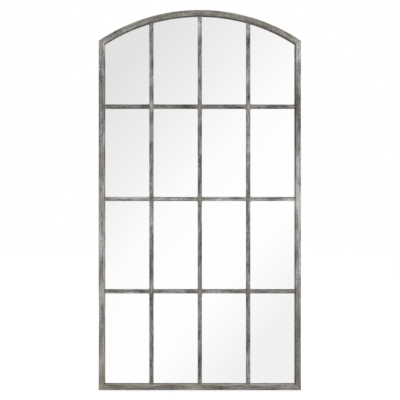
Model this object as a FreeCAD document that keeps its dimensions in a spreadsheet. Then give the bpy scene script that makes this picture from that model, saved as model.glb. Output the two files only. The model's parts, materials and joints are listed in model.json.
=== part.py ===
import FreeCAD
import Part
import os
import re
import Sketcher

# Arched window mirror: a welded steel tube frame with a grid of glazing bars in front of one arched
# sheet of mirror, a backing board held by turn buttons, and two ring hangers on the back.
#
# Frame of the part: +X is to the right and +Z is up as seen from the front, which faces -Y.
# The origin is at the middle of the bottom rail's underside, on the floor line. Lengths are millimetres.

# The driving dimensions, in millimetres, apart from two angles in degrees.
SIZES = {
    # The whole frame
    "overall_width": 958.0,
    "overall_height": 1800.0,
    "arch_rise": 145.5,
    # Steel tube of the outer frame
    "tube_width": 25.0,
    "tube_wall": 1.5,
    "tube_corner": 2.5,
    "tube_bore_corner": 1.0,
    # Steel tube of the glazing bars, set back behind the face of the frame
    "bar_width": 20.0,
    "bar_depth": 10.0,
    "bar_wall": 1.2,
    "bar_corner": 1.5,
    "bar_bore_corner": 0.5,
    "bar_recess": 15.0,
    "column_pitch": 230.0,
    "row_pitch": 439.0,
    "row_lift": 5.0,
    # Strip that the mirror's edge lies against, round the inside of the frame
    "stop_width": 4.0,
    "stop_depth": 4.0,
    # Weld beads in the corners, and the gap that a weld fills at a curved end
    "weld_leg": 3.0,
    "weld_crown": 0.6,
    "weld_gap": 0.1,
    # The stack behind the bars: mirror, packing strips, board
    "glass_thickness": 4.0,
    "packing_thickness": 3.0,
    "board_thickness": 6.0,
    "sheet_gap": 2.0,
    "packing_width": 15.0,
    "packing_margin": 12.0,
    "block_length": 60.0,
    "block_offset": 240.0,
    # Turn buttons that hold the board in, and the place of each one
    "button_width": 12.0,
    "button_reach": 22.0,
    "button_thickness": 1.5,
    "button_clearance": 0.3,
    "button_lowest": 250.0,
    "button_below_hanger": 130.0,
    "button_offset": 230.0,
    "button_angle": 18.0,
    # Pan head screws
    "screw_diameter": 4.0,
    "screw_length": 12.0,
    "screw_point": 4.0,
    "screw_head_diameter": 7.0,
    "screw_head_height": 2.4,
    "screw_head_edge": 1.0,
    "recess_length": 4.2,
    "recess_width": 1.0,
    "recess_depth": 1.4,
    "pilot_clearance": 0.05,
    "hole_clearance": 0.15,
    # Ring hangers
    "hanger_drop": 160.0,
    "strap_width": 10.0,
    "strap_thickness": 1.5,
    "strap_corner": 3.0,
    "strap_tail": 5.0,
    "strap_screw_gap": 0.7,
    "strap_screw_pitch": 14.0,
    "curl_angle": 60.0,
    "ring_wire": 4.0,
    "ring_bend": 5.0,
    "ring_leg": 1.5,
    "ring_clearance": 0.3,
    # Rubber bumpers that keep the back off the wall
    "bumper_diameter": 16.0,
    "bumper_top_diameter": 13.0,
    "bumper_height": 8.0,
    "bumper_edge": 1.2,
    "bumper_lowest": 60.0,
    "bumper_drop": 50.0,
}

# Sizes and places that follow from the driving dimensions.
FORMULAS = {
    "tube_depth": "bar_recess + bar_depth + glass_thickness + packing_thickness + board_thickness",
    "front": "-tube_depth / 2",
    "rear": "tube_depth / 2",
    "half_width": "overall_width / 2",
    "arch_radius": "(half_width ^ 2 + arch_rise ^ 2) / (2 * arch_rise)",
    "arch_centre": "overall_height - arch_radius",
    "opening_half": "half_width - tube_width",
    "opening_radius": "arch_radius - tube_width",
    "outer_spring": "overall_height - arch_rise",
    "inner_spring": "arch_centre + sqrt(opening_radius ^ 2 - opening_half ^ 2)",
    "bar_front": "front + bar_recess",
    "glass_front": "bar_front + bar_depth",
    "packing_front": "glass_front + glass_thickness",
    "board_front": "packing_front + packing_thickness",
    "bar_half": "bar_width / 2",
    "lowest_row": "overall_height / 2 + row_lift - row_pitch",
    "welded_radius": "opening_radius - weld_gap",
    "crown_radius": "(weld_leg ^ 2 / 2 + weld_crown ^ 2) / (2 * weld_crown)",
    "stop_front": "glass_front - stop_depth",
    "sheet_half": "opening_half - sheet_gap",
    "sheet_radius": "opening_radius - sheet_gap",
    "sheet_bottom": "tube_width + sheet_gap",
    "stile_middle": "half_width - tube_width / 2",
    "arch_middle": "arch_radius - tube_width / 2",
    "hanger_height": "inner_spring - hanger_drop",
    "bumper_highest": "inner_spring - bumper_drop",
    "button_pitch": "(hanger_height - button_below_hanger - button_lowest) / 2",
    "button_back": "rear + button_clearance",
    "button_head_seat": "button_back + button_thickness + button_clearance",
    "button_arch_x": "arch_middle * sin(button_angle)",
    "button_arch_z": "arch_centre + arch_middle * cos(button_angle)",
    "shank_radius": "screw_diameter / 2",
    "curl_bore": "ring_wire / 2 + ring_clearance",
    "curl_outside": "curl_bore + strap_thickness",
    "hanger_axis": "rear + strap_thickness + curl_bore",
    "ring_half": "strap_width / 2 + ring_clearance + ring_bend",
    "ring_turn": "ring_bend + ring_leg",
    "ring_bottom": "ring_turn + ring_half + ring_wire / 2",
    "strap_screw_drop": "ring_bottom + strap_screw_gap + screw_head_diameter / 2",
    "strap_screw_z": "hanger_height - strap_screw_drop",
    "strap_end": "strap_screw_drop + strap_screw_pitch + strap_tail",
}

COLUMNS = {"left": -1, "centre": 0, "right": 1}
ROWS = {"lower": 0, "middle": 1, "upper": 2}
SIDES = {"left": -1, "right": 1}

doc = FreeCAD.newDocument("arched_mirror")
sheet = doc.addObject("Spreadsheet::Sheet", "Sizes")
for row, (alias, size) in enumerate(SIZES.items(), start=1):
    sheet.set(f"A{row}", str(size))
    sheet.setAlias(f"A{row}", alias)
doc.recompute()


# Formulas


def formula(text):
    """The text with each formula's name opened up and each size's name pointing at its cell."""

    def open_up(match):
        word = match.group(0)
        if word in FORMULAS:
            return f"({formula(FORMULAS[word])})"
        return f"Sizes.{word}" if word in SIZES else word

    return re.sub(r"[a-z_]+", open_up, text)


def value(text):
    """What a formula comes to, in millimetres or degrees."""
    return float(sheet.evalExpression(formula(text)))


def bind(item, path, text):
    item.setExpression(path, formula(text))


def place(item, x="0", y="0", z="0", turn="0"):
    """Puts an object at formulas for X, Y and Z, turned about +Y by a formula in degrees."""
    item.Placement = FreeCAD.Placement(
        FreeCAD.Vector(), FreeCAD.Rotation(FreeCAD.Vector(0, 1, 0), value(turn))
    )
    bind(item, "Placement.Rotation.Angle", f"({turn}) * 1 deg")
    for axis, text in zip("xyz", (x, y, z)):
        bind(item, f"Placement.Base.{axis}", text)


# Outlines, and the solids made from them


def new_body(label):
    body = doc.addObject("PartDesign::Body", label)
    body.Label = label
    return body


def new_sketch(body, plane, offset="0"):
    """An empty sketch on an origin plane. On XZ its own axes are X and Z, and the offset runs along -Y."""
    sketch = body.newObject("Sketcher::SketchObject", "Sketch")
    support = next(f for f in body.Origin.OriginFeatures if f.Role == plane + "_Plane")
    sketch.AttachmentSupport = [(support, "")]
    sketch.MapMode = "FlatFace"
    bind(sketch, "AttachmentOffset.Base.z", offset)
    return sketch


def bulge_point(start, end, radius, side):
    """The middle of the arc of that radius from start to end. Side 1 has its centre on the chord's left."""
    chord = end - start
    left = FreeCAD.Vector(-chord.y, chord.x, 0) / chord.Length
    height = max(radius**2 - (chord.Length / 2) ** 2, 0) ** 0.5
    return (start + end) / 2 + left * (side * (height - radius))


def pin_point(sketch, geometry, end, corner):
    """Holds one point of the sketch at a pair of formulas, measured from the sketch's origin."""
    for kind, axis, text in zip(("DistanceX", "DistanceY"), (-2, -1), corner):
        if abs(value(text)) < Part.Precision.confusion():
            sketch.addConstraint(Sketcher.Constraint("PointOnObject", geometry, end, axis))
        else:
            rule = Sketcher.Constraint(kind, -1, 1, geometry, end, value(text))
            bind(sketch, f"Constraints[{sketch.addConstraint(rule)}]", text)


def set_radius(sketch, geometry, text):
    rule = Sketcher.Constraint("Radius", geometry, value(text))
    bind(sketch, f"Constraints[{sketch.addConstraint(rule)}]", text)


def outline(sketch, corners, arcs=None):
    """Draws a closed outline through corners, which are pairs of formulas. Arcs maps an edge's number to its
    radius formula and its side, as in bulge_point; the other edges are straight."""
    arcs = arcs or {}
    points = [FreeCAD.Vector(value(x), value(y), 0) for x, y in corners]
    ends = []
    for edge, start in enumerate(points):
        end = points[(edge + 1) % len(points)]
        if edge in arcs:
            radius, side = arcs[edge]
            shape = Part.Arc(start, bulge_point(start, end, value(radius), side), end)
        else:
            shape = Part.LineSegment(start, end)
        number = sketch.addGeometry(shape, False)
        forward = sketch.getPoint(number, 1).isEqual(start, Part.Precision.confusion())
        ends.append((number, 1, 2) if forward else (number, 2, 1))
    for edge, (number, first, last) in enumerate(ends):
        pin_point(sketch, number, first, corners[edge])
        follower, follower_first, _ = ends[(edge + 1) % len(ends)]
        sketch.addConstraint(Sketcher.Constraint("Coincident", number, last, follower, follower_first))
        if edge in arcs:
            set_radius(sketch, number, arcs[edge][0])


def rounded_rectangle(sketch, low_x, high_x, low_y, high_y, radius):
    left, right = f"{low_x} + {radius}", f"{high_x} - {radius}"
    bottom, top = f"{low_y} + {radius}", f"{high_y} - {radius}"
    corners = [(left, low_y), (right, low_y), (high_x, bottom), (high_x, top)]
    corners += [(right, high_y), (left, high_y), (low_x, top), (low_x, bottom)]
    outline(sketch, corners, {edge: (radius, 1) for edge in (1, 3, 5, 7)})


def circle(sketch, x, y, radius):
    centre = FreeCAD.Vector(value(x), value(y), 0)
    shape = Part.Circle(centre, FreeCAD.Vector(0, 0, 1), value(radius))
    number = sketch.addGeometry(shape, False)
    pin_point(sketch, number, 3, (x, y))
    set_radius(sketch, number, radius)


def pad(body, sketch, length, backwards=False, both_ways=False):
    feature = body.newObject("PartDesign::Pad", "Pad")
    feature.Profile = sketch
    bind(feature, "Length", length)
    feature.Reversed = backwards
    feature.Midplane = both_ways
    doc.recompute()


def pocket(body, sketch, depth=None, backwards=False):
    """Cuts a sketch through the whole body both ways or, where a depth is given, that deep one way."""
    before = body.Shape.Volume
    feature = body.newObject("PartDesign::Pocket", "Pocket")
    feature.Profile = sketch
    if depth is None:
        feature.Type = "ThroughAll"
        feature.Midplane = True
    else:
        bind(feature, "Length", depth)
        feature.Reversed = backwards
    doc.recompute()
    if not body.Shape.Volume < before:
        raise RuntimeError(f"a pocket of {body.Label} cuts nothing")


def revolve(body, sketch, axis, angle="360"):
    feature = body.newObject("PartDesign::Revolution", "Revolution")
    feature.Profile = sketch
    feature.ReferenceAxis = (sketch, [axis])
    bind(feature, "Angle", f"({angle}) * 1 deg")
    feature.Midplane = True
    doc.recompute()


def group(label, members):
    """One node of separate solids."""
    compound = doc.addObject("Part::Compound", label)
    compound.Label = label
    compound.Links = members
    return compound


def copies(label, master, places):
    """One node with a copy of the master at each place, given as formulas for X, Y, Z and the turn."""
    members = []
    for x, y, z, turn in places:
        link = doc.addObject("App::Link", "Copy")
        link.LinkedObject = master
        place(link, x, y, z, turn)
        members.append(link)
    return group(label, members)


def block(low_x, high_x, low_y, high_y, low_z, high_z):
    """A plain block between formulas."""
    box = doc.addObject("Part::Box", "Block")
    for side, low, high in (
        ("Length", low_x, high_x),
        ("Width", low_y, high_y),
        ("Height", low_z, high_z),
    ):
        bind(box, side, f"({high}) - ({low})")
    place(box, low_x, low_y, low_z)
    return box


# Places of the bars


def column_x(column):
    return f"{COLUMNS[column]} * column_pitch"


def row_z(row):
    return f"(lowest_row + {ROWS[row]} * row_pitch)"


def row_edges():
    """The pairs of heights between which each pane lies, against a stile."""
    rows = [row_z(row) for row in ROWS]
    lows = ["tube_width + stop_width"] + [f"{z} + bar_half" for z in rows]
    highs = [f"{z} - bar_half" for z in rows] + ["inner_spring"]
    return list(zip(lows, highs))


def column_edges():
    """The pairs of X values between which each pane lies."""
    lows = ["-opening_half"] + [f"{column_x(c)} + bar_half" for c in COLUMNS]
    highs = [f"{column_x(c)} - bar_half" for c in COLUMNS] + ["opening_half"]
    return list(zip(lows, highs))


def arch_z(radius, x):
    """The height at X of a circle about the arch's centre."""
    return f"(arch_centre + sqrt(({radius}) ^ 2 - ({x}) ^ 2))"


# Outer frame: four tubes, mitred and welded at the corners


def tube_section(sketch, low_x, high_x, low_y, high_y):
    """The frame tube's section: a rounded outside and a rounded bore."""
    rounded_rectangle(sketch, low_x, high_x, low_y, high_y, "tube_corner")
    bore = (f"{low_x} + tube_wall", f"{high_x} - tube_wall", f"{low_y} + tube_wall", f"{high_y} - tube_wall")
    rounded_rectangle(sketch, *bore, "tube_bore_corner")


def pilot_holes(body, places):
    """Holes for screws through the rear wall of a tube."""
    sketch = new_sketch(body, "XZ", "-rear")
    for x, z in places:
        circle(sketch, x, z, "shank_radius + pilot_clearance")
    pocket(body, sketch, "2 * tube_wall", backwards=True)


def stile_screws():
    """The places of the screws in the left stile."""
    buttons = [("-stile_middle", f"button_lowest + {step} * button_pitch") for step in range(3)]
    straps = [("-stile_middle", f"strap_screw_z - {step} * strap_screw_pitch") for step in range(2)]
    return buttons + straps


def make_stiles():
    left = new_body("left_stile")
    section = new_sketch(left, "XY")
    tube_section(section, "-half_width", "-opening_half", "front", "rear")
    pad(left, section, "outer_spring")
    mitres = new_sketch(left, "XZ")
    far, near = "-half_width - tube_width", "-opening_half + tube_width"
    outline(mitres, [(far, "-tube_width"), (near, "-tube_width"), (near, "2 * tube_width")])
    top_far, top_near = "2 * outer_spring - inner_spring", "2 * inner_spring - outer_spring"
    outline(mitres, [(far, top_far), (near, top_near), (near, top_far)])
    pocket(left, mitres)
    pilot_holes(left, stile_screws())
    right = doc.addObject("Part::Mirroring", "right_stile")
    right.Label = "right_stile"
    right.Source = left
    right.Normal = FreeCAD.Vector(1, 0, 0)
    return [left, right]


def make_bottom_rail():
    body = new_body("bottom_rail")
    section = new_sketch(body, "YZ")
    tube_section(section, "front", "rear", "0", "tube_width")
    pad(body, section, "overall_width", both_ways=True)
    mitres = new_sketch(body, "XZ")
    for side in SIDES.values():
        far, near = f"{side} * (half_width + tube_width)", f"{side} * (opening_half - tube_width)"
        outline(mitres, [(far, "-tube_width"), (far, "2 * tube_width"), (near, "2 * tube_width")])
    pocket(body, mitres)
    pilot_holes(body, [(f"{side} * button_offset", "tube_width / 2") for side in SIDES.values()])
    return [body]


def make_arch_rail():
    """The bent tube. It is revolved a little too far, then cut on the two mitre lines."""
    body = new_body("arch_rail")
    section = new_sketch(body, "YZ")
    tube_section(section, "front", "rear", "overall_height - tube_width", "overall_height")
    axis_ends = [("0", "arch_centre"), ("rear", "arch_centre")]
    axis = Part.LineSegment(*(FreeCAD.Vector(value(y), value(z), 0) for y, z in axis_ends))
    number = section.addGeometry(axis, True)
    for end, spot in enumerate(axis_ends, start=1):
        pin_point(section, number, end, spot)
    revolve(body, section, "Axis0", "2 * asin((half_width + tube_width) / arch_radius) / 1 deg")
    mitres = new_sketch(body, "XZ")
    for side in SIDES.values():
        far, near = f"{side} * (half_width + 2 * tube_width)", f"{side} * (opening_half - tube_width)"
        far_z, near_z = "3 * outer_spring - 2 * inner_spring", "2 * inner_spring - outer_spring"
        drop = "3 * tube_width"
        corners = [(far, far_z), (near, near_z), (near, f"{near_z} - {drop}"), (far, f"{far_z} - {drop}")]
        outline(mitres, corners)
    pocket(body, mitres)
    pilot_holes(body, [(f"{side} * button_arch_x", "button_arch_z") for side in SIDES.values()])
    return [body]


# Glazing bars: three uprights, and cross bars cut to fit between them


def bar_section(sketch, low_x, high_x, low_y, high_y):
    rounded_rectangle(sketch, low_x, high_x, low_y, high_y, "bar_corner")
    bore = (f"{low_x} + bar_wall", f"{high_x} - bar_wall", f"{low_y} + bar_wall", f"{high_y} - bar_wall")
    rounded_rectangle(sketch, *bore, "bar_bore_corner")


def make_upright(column):
    """An upright from the bottom rail to the arch, its top cut to the arch's curve."""
    body = new_body(f"upright_{column}")
    section = new_sketch(body, "XY", "tube_width")
    middle = column_x(column)
    low, high = f"{middle} - bar_half", f"{middle} + bar_half"
    bar_section(section, low, high, "bar_front", "glass_front")
    pad(body, section, "overall_height - tube_width")
    cap = new_sketch(body, "XZ")
    left, right = f"{middle} - bar_width", f"{middle} + bar_width"
    top = "overall_height + tube_width"
    corners = [(x, arch_z("welded_radius", x)) for x in (right, left)] + [(left, top), (right, top)]
    outline(cap, corners, {0: ("welded_radius", 1)})
    pocket(body, cap)
    return body


def make_cross_bar(row, bay, low, high):
    body = new_body(f"cross_bar_{row}_{bay}")
    section = new_sketch(body, "YZ", low)
    middle = row_z(row)
    bar_section(section, "bar_front", "glass_front", f"{middle} - bar_half", f"{middle} + bar_half")
    pad(body, section, f"({high}) - ({low})")
    return body


def make_bars():
    uprights = [make_upright(column) for column in COLUMNS]
    bays = list(enumerate(column_edges(), start=1))
    return uprights + [make_cross_bar(row, bay, *edges) for row in ROWS for bay, edges in bays]


# Stops that the mirror lies against, cut between the bars


def make_arch_stop():
    """The bent strip under the arch, in one length for each bay."""
    body = new_body("arch_stop")
    profile = new_sketch(body, "XZ", "-stop_front")
    inner = "welded_radius - stop_width"
    for low, high in column_edges():
        corners = [(low, arch_z(inner, low)), (high, arch_z(inner, high))]
        corners += [(high, arch_z("welded_radius", high)), (low, arch_z("welded_radius", low))]
        outline(profile, corners, {0: (inner, -1), 2: ("welded_radius", 1)})
    pad(body, profile, "stop_depth", backwards=True)
    return body


def make_stile_stop(side):
    """The strip up one stile, in one length for each row. The top one is cut to the arch's strip."""
    inner, outer = f"{SIDES[side]} * (opening_half - stop_width)", f"{SIDES[side]} * opening_half"
    low_x, high_x = (outer, inner) if side == "left" else (inner, outer)
    lengths = [block(low_x, high_x, "stop_front", "glass_front", low, high) for low, high in row_edges()]
    clear = doc.addObject("Part::Cylinder", "UnderArchStop")
    bind(clear, "Radius", "welded_radius - stop_width - weld_gap")
    bind(clear, "Height", "tube_depth")
    clear.Placement.Rotation = FreeCAD.Rotation(FreeCAD.Vector(1, 0, 0), -90)
    bind(clear, "Placement.Base.y", "front")
    bind(clear, "Placement.Base.z", "arch_centre")
    top = doc.addObject("Part::Common", "TopLength")
    top.Base = lengths[-1]
    top.Tool = clear
    return group(f"{side}_stop", lengths[:-1] + [top])


def make_bottom_stop():
    top = "tube_width + stop_width"
    depth = ("stop_front", "glass_front")
    lengths = [block(low, high, *depth, "tube_width", top) for low, high in column_edges()]
    return group("bottom_stop", lengths)


def make_stops():
    return [make_arch_stop(), make_bottom_stop()] + [make_stile_stop(side) for side in SIDES]


# Weld beads in the corners of the grid


def make_weld_bead():
    """A bead with its legs along +X and +Z from the corner, and a crowned face."""
    body = new_body("weld_bead")
    profile = new_sketch(body, "XZ", "-(bar_front + bar_corner)")
    outline(profile, [("0", "0"), ("weld_leg", "0"), ("0", "weld_leg")], {1: ("crown_radius", 1)})
    pad(body, profile, "stop_front - bar_front - bar_corner", backwards=True)
    return body


def bead_turn(right, up):
    """The turn that points a bead's legs left or right and up or down."""
    return {(1, 1): "0", (1, -1): "90", (-1, -1): "180", (-1, 1): "270"}[right, up]


def make_arch_bead(column, side):
    """A bead between an upright's side and the arch, which it meets on a slope."""
    body = new_body("arch_bead")
    edge = f"({column_x(column)} + {side} * bar_half)"
    outer = f"({edge} + {side} * weld_leg)"
    profile = new_sketch(body, "XZ", "-(bar_front + bar_corner)")
    top = arch_z("welded_radius", edge)
    outline(profile, [(edge, top), (outer, arch_z("welded_radius", outer)), (edge, f"{top} - weld_leg")])
    pad(body, profile, "stop_front - bar_front - bar_corner", backwards=True)
    return body


def make_welds():
    bead = make_weld_bead()
    crossings, ends = [], []
    for row in ROWS:
        for up in (-1, 1):
            z = f"{row_z(row)} + {up} * bar_half"
            for column in COLUMNS:
                for right in (-1, 1):
                    x = f"{column_x(column)} + {right} * bar_half"
                    crossings.append((x, "0", z, bead_turn(right, up)))
            for side in SIDES.values():
                ends.append((f"{side} * opening_half", "0", z, bead_turn(-side, up)))
    for column in COLUMNS:
        for right in (-1, 1):
            ends.append((f"{column_x(column)} + {right} * bar_half", "0", "tube_width", bead_turn(right, 1)))
    end_welds = copies("bar_end_welds", bead, ends)
    end_welds.Links += [make_arch_bead(column, side) for column in COLUMNS for side in SIDES.values()]
    return [copies("crossing_welds", bead, crossings), end_welds]


# Mirror, packing, board and the blocks that they stand on


def make_sheet(label, front, thickness):
    """A flat sheet with an arched top that fits inside the frame."""
    body = new_body(label)
    profile = new_sketch(body, "XZ", f"-({front})")
    top = arch_z("sheet_radius", "sheet_half")
    corners = [("-sheet_half", "sheet_bottom"), ("sheet_half", "sheet_bottom")]
    corners += [("sheet_half", top), ("-sheet_half", top)]
    outline(profile, corners, {2: ("sheet_radius", 1)})
    pad(body, profile, thickness, backwards=True)
    return body


def make_packing_strips():
    """Upright strips behind each upright bar and along both edges of the mirror."""
    edge = "(sheet_half - packing_margin - packing_width / 2)"
    strips = []
    for middle in [f"-{edge}"] + [column_x(column) for column in COLUMNS] + [edge]:
        low, high = f"{middle} - packing_width / 2", f"{middle} + packing_width / 2"
        widest = f"(abs({middle}) + packing_width / 2)"
        bottom, top = "sheet_bottom + packing_margin", f"{arch_z('sheet_radius', widest)} - packing_margin"
        strips.append(block(low, high, "packing_front", "board_front", bottom, top))
    return group("packing_strips", strips)


def make_setting_blocks():
    blocks = []
    for side in SIDES.values():
        low, high = f"{side} * block_offset - block_length / 2", f"{side} * block_offset + block_length / 2"
        blocks.append(block(low, high, "glass_front", "rear", "tube_width", "sheet_bottom"))
    return group("setting_blocks", blocks)


def make_stack():
    return [
        make_sheet("mirror_glass", "glass_front", "glass_thickness"),
        make_packing_strips(),
        make_sheet("backing_board", "board_front", "board_thickness"),
        make_setting_blocks(),
    ]


# Screws and turn buttons


def make_screw():
    """A pan head screw along Y. Its head stands on the XZ plane and its point is towards -Y."""
    body = new_body("pan_screw")
    profile = new_sketch(body, "YZ")
    head, edge = "screw_head_diameter / 2", "screw_head_height - screw_head_edge"
    corners = [("-screw_length", "0"), ("screw_head_height", "0")]
    corners += [("screw_head_height", f"{head} - screw_head_edge"), (edge, head), ("0", head)]
    corners += [("0", "shank_radius"), ("screw_point - screw_length", "shank_radius")]
    outline(profile, corners, {2: ("screw_head_edge", 1)})
    revolve(body, profile, "H_Axis")
    recess = new_sketch(body, "XZ", "-screw_head_height")
    long, short = "recess_length / 2", "recess_width / 2"
    cross = [(short, long), (short, short), (long, short), (long, f"-{short}"), (short, f"-{short}")]
    cross += [(short, f"-{long}"), (f"-{short}", f"-{long}"), (f"-{short}", f"-{short}")]
    cross += [(f"-{long}", f"-{short}"), (f"-{long}", short), (f"-{short}", short), (f"-{short}", long)]
    outline(recess, cross)
    pocket(body, recess, "recess_depth", backwards=True)
    return body


def button_places():
    """The name, X, Z and turn of each turn button. At turn 0 a button points along +X."""
    places = []
    for side, sign in SIDES.items():
        turn = "0" if side == "left" else "180"
        for step in range(3):
            height = f"button_lowest + {step} * button_pitch"
            places.append((f"turn_button_{side}_{step + 1}", f"{sign} * stile_middle", height, turn))
        places.append((f"turn_button_bottom_{side}", f"{sign} * button_offset", "tube_width / 2", "270"))
        slope = f"90 + {sign} * button_angle"
        places.append((f"turn_button_arch_{side}", f"{sign} * button_arch_x", "button_arch_z", slope))
    return places


def make_turn_button(label, x, z, turn):
    """A flat round-ended plate that swings about a screw near one end."""
    body = new_body(label)
    profile = new_sketch(body, "XZ")
    half = "button_width / 2"
    corners = [("0", f"-{half}"), ("button_reach", f"-{half}"), (f"button_reach + {half}", "0")]
    corners += [("button_reach", half), ("0", half), (f"-{half}", "0")]
    outline(profile, corners, {edge: (half, 1) for edge in (1, 2, 4, 5)})
    circle(profile, "0", "0", "shank_radius + hole_clearance")
    pad(body, profile, "button_thickness", backwards=True)
    place(body, x, "button_back", z, turn)
    return body


def make_buttons(screw):
    places = button_places()
    buttons = [make_turn_button(*spot) for spot in places]
    seats = [(x, "button_head_seat", z, turn) for _, x, z, turn in places]
    return buttons + [copies("turn_button_screws", screw, seats)]


# Ring hangers


def make_hanger_strap(side):
    """A strap screwed to the stile, with its top curled round the ring's straight bar."""
    body = new_body(f"hanger_strap_{side}")
    profile = new_sketch(body, "YZ")
    corners = [("-curl_outside", "-strap_end"), ("-curl_outside", "0")]
    corners += [("0", "curl_outside"), ("curl_outside", "0")]
    for radius in ("curl_outside", "curl_bore"):
        corners.append((f"{radius} * cos(curl_angle)", f"-{radius} * sin(curl_angle)"))
    corners += [("curl_bore", "0"), ("0", "curl_bore")]
    corners += [("-curl_bore", "0"), ("-curl_bore", "-strap_end")]
    arcs = {edge: ("curl_outside", -1) for edge in (1, 2, 3)}
    arcs.update({edge: ("curl_bore", 1) for edge in (5, 6, 7)})
    outline(profile, corners, arcs)
    pad(body, profile, "strap_width", both_ways=True)
    holes = new_sketch(body, "XZ")
    for step in range(2):
        circle(holes, "0", f"-strap_screw_drop - {step} * strap_screw_pitch", "shank_radius + hole_clearance")
    pocket(body, holes)
    end = value("-strap_end")
    names = [
        f"Edge{number}"
        for number, edge in enumerate(body.Shape.Edges, start=1)
        if edge.BoundBox.ZMax - end < Part.Precision.confusion()
        and edge.BoundBox.YLength > value("strap_thickness / 2")
    ]
    blank = body.Tip
    rounding = body.newObject("PartDesign::Fillet", "Fillet")
    rounding.Base = (blank, names)
    bind(rounding, "Radius", "strap_corner")
    place(body, f"{SIDES[side]} * stile_middle", "hanger_axis", "hanger_height")
    return body


def make_hanger_ring(side):
    """A D of round wire that hangs from its straight bar, which turns in the strap's curl."""
    body = new_body(f"hanger_ring_{side}")
    route = new_sketch(body, "XZ")
    straight = "(ring_half - ring_bend)"
    corners = [("0", "0"), (straight, "0"), ("ring_half", "-ring_bend"), ("ring_half", "-ring_turn")]
    corners += [("0", "-(ring_turn + ring_half)"), ("-ring_half", "-ring_turn"), ("-ring_half", "-ring_bend")]
    corners += [(f"-{straight}", "0")]
    bends = {1: ("ring_bend", -1), 3: ("ring_half", -1), 4: ("ring_half", -1), 6: ("ring_bend", -1)}
    outline(route, corners, bends)
    section = new_sketch(body, "YZ")
    circle(section, "0", "0", "ring_wire / 2")
    wire = body.newObject("PartDesign::AdditivePipe", "Wire")
    wire.Profile = section
    wire.Spine = (route, [])
    doc.recompute()
    place(body, f"{SIDES[side]} * stile_middle", "hanger_axis", "hanger_height")
    return body


def make_hangers(screw):
    straps = [make_hanger_strap(side) for side in SIDES]
    rings = [make_hanger_ring(side) for side in SIDES]
    heights = [f"strap_screw_z - {step} * strap_screw_pitch" for step in range(2)]
    seats = [
        (f"{sign} * stile_middle", "rear + strap_thickness", height, "0")
        for sign in SIDES.values()
        for height in heights
    ]
    return straps + rings + [copies("hanger_screws", screw, seats)]


# Rubber bumpers


def make_bumpers():
    master = new_body("bumper")
    profile = new_sketch(master, "YZ")
    top = "bumper_top_diameter / 2"
    corners = [("0", "0"), ("bumper_height", "0"), ("bumper_height", f"{top} - bumper_edge")]
    corners += [("bumper_height - bumper_edge", top), ("0", "bumper_diameter / 2")]
    outline(profile, corners, {2: ("bumper_edge", 1)})
    revolve(master, profile, "H_Axis")
    places = [
        (f"{sign} * stile_middle", "rear", height, "0")
        for sign in SIDES.values()
        for height in ("bumper_lowest", "bumper_highest")
    ]
    return [copies("wall_bumpers", master, places)]


def check(pieces):
    """Stops where an object failed to build, or a piece has no sound solid."""
    failed = [item.Label for item in doc.Objects if {"Invalid", "Error"} & set(item.State)]
    unsound = [p.Label for p in pieces if p.Shape.isNull() or not p.Shape.isValid() or not p.Shape.Solids]
    if failed or unsound:
        raise RuntimeError(f"objects that failed: {failed}; pieces that are not sound: {unsound}")


def export(pieces):
    os.makedirs("parts", exist_ok=True)
    for piece in pieces:
        piece.Shape.exportStep(f"parts/{piece.Label}.step")
        print(piece.Label, len(piece.Shape.Solids), round(piece.Shape.Volume))


screw = make_screw()
pieces = make_stiles() + make_bottom_rail() + make_arch_rail() + make_bars() + make_stops() + make_welds()
pieces += make_stack() + make_buttons(screw) + make_hangers(screw) + make_bumpers()
doc.recompute()
check(pieces)
export(pieces)
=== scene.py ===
"""Looks of the arched mirror. Run as a script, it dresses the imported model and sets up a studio."""

import json
import math
import random

import bmesh
import bpy
from bpy.props import FloatProperty, FloatVectorProperty, IntProperty, PointerProperty
from mathutils import Matrix, Vector

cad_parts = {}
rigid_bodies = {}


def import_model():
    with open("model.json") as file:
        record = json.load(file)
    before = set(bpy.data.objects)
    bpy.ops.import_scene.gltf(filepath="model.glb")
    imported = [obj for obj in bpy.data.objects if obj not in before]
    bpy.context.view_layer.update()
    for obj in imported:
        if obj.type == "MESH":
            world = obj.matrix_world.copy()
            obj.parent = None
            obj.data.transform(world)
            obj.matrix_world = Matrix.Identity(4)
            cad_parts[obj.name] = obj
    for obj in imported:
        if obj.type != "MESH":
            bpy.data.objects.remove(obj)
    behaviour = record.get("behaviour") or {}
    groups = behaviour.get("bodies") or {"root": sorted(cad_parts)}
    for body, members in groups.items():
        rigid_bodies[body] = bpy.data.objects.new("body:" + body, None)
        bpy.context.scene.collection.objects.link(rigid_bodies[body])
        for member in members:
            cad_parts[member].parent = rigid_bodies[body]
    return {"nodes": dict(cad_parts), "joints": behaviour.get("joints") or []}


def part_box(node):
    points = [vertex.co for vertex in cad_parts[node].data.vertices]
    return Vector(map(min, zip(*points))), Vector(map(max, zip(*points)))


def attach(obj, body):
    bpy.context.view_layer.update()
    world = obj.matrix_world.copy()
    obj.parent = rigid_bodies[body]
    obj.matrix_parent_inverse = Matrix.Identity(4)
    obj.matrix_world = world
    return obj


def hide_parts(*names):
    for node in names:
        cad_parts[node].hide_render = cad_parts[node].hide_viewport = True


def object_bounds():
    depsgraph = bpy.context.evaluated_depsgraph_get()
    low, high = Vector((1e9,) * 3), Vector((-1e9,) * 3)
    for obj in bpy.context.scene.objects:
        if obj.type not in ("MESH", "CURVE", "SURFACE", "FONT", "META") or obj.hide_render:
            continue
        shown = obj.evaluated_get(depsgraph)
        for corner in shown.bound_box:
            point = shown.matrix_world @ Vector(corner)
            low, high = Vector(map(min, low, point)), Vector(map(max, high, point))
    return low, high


for item in list(bpy.data.objects):
    bpy.data.objects.remove(item)
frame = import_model()
cad_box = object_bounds()

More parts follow.
